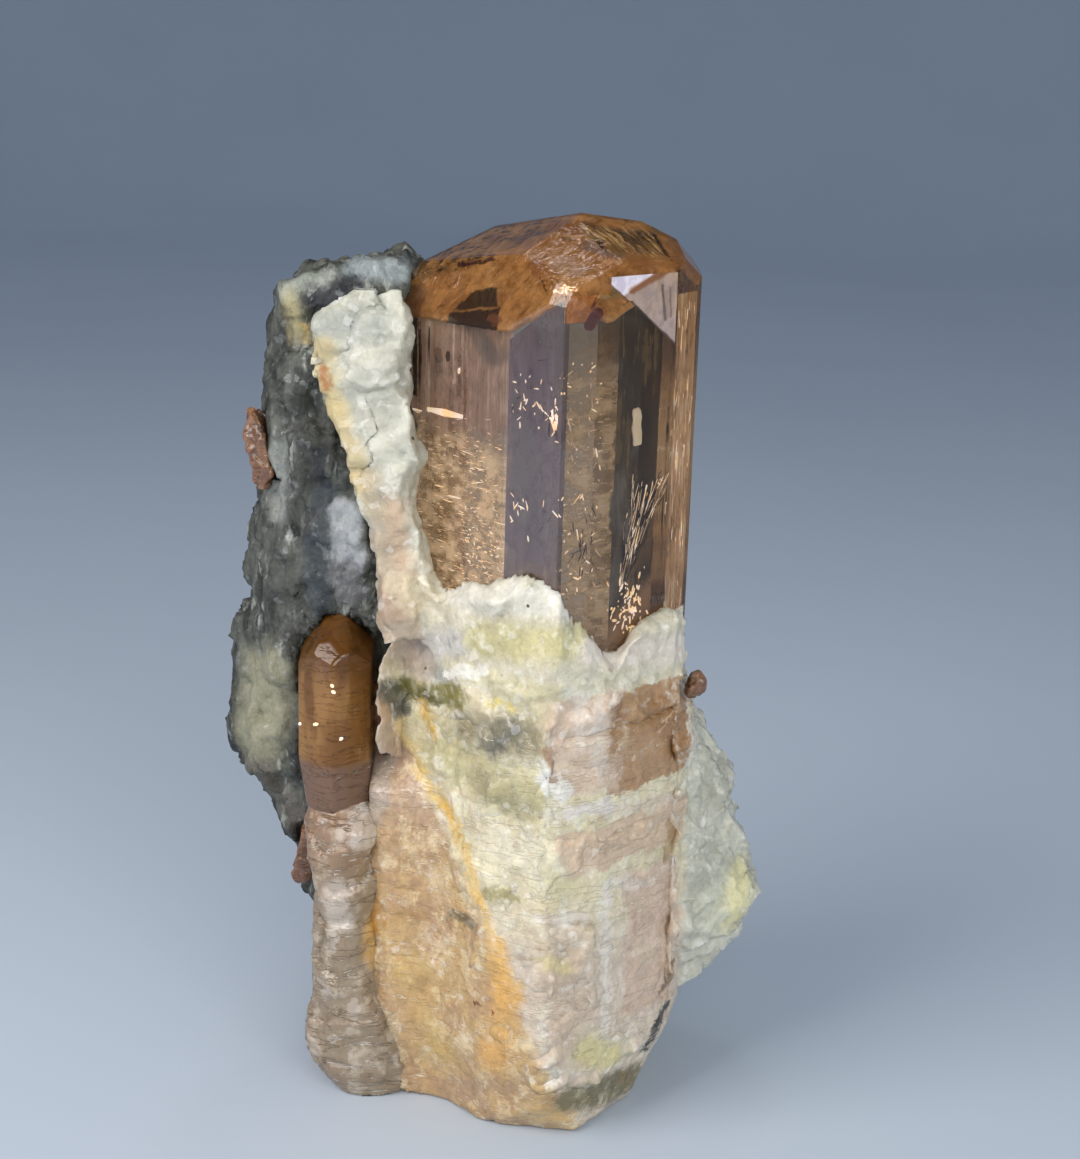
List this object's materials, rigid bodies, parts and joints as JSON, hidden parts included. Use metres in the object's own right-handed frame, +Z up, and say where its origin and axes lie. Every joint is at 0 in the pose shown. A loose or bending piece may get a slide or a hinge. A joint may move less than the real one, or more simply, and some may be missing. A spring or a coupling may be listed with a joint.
{
  "type": "topaz crystal specimen",
  "caption": "Peach-orange topaz crystal, clear above and frosted below, with a small topaz beside it on grey schist and white quartz matrix; stands on a flat break.",
  "frame": {"origin": "centre of the specimen's box, on the flat break that it stands on", "axes": "+Z up along the crystals' long c axis, front towards -Y with the two steep front faces of the main crystal, schist towards -X, the quartz lobe towards +X"},
  "size_m": [0.0254, 0.016, 0.04],
  "materials": {
    "clear_topaz": "gloss",
    "orange_topaz": "satin",
    "red_brown_topaz": "satin",
    "grey_schist": "rough, glittering with mica",
    "white_quartz": "rough, sugary"
  },
  "bodies": {
    "root": {"main_topaz_crystal": "clear_topaz", "side_topaz_crystal": "orange_topaz", "left_topaz_blade": "red_brown_topaz", "lower_left_topaz_blade": "red_brown_topaz", "right_topaz_chip": "orange_topaz", "grey_schist": "grey_schist", "white_quartz": "white_quartz"}
  },
  "joints": []
}
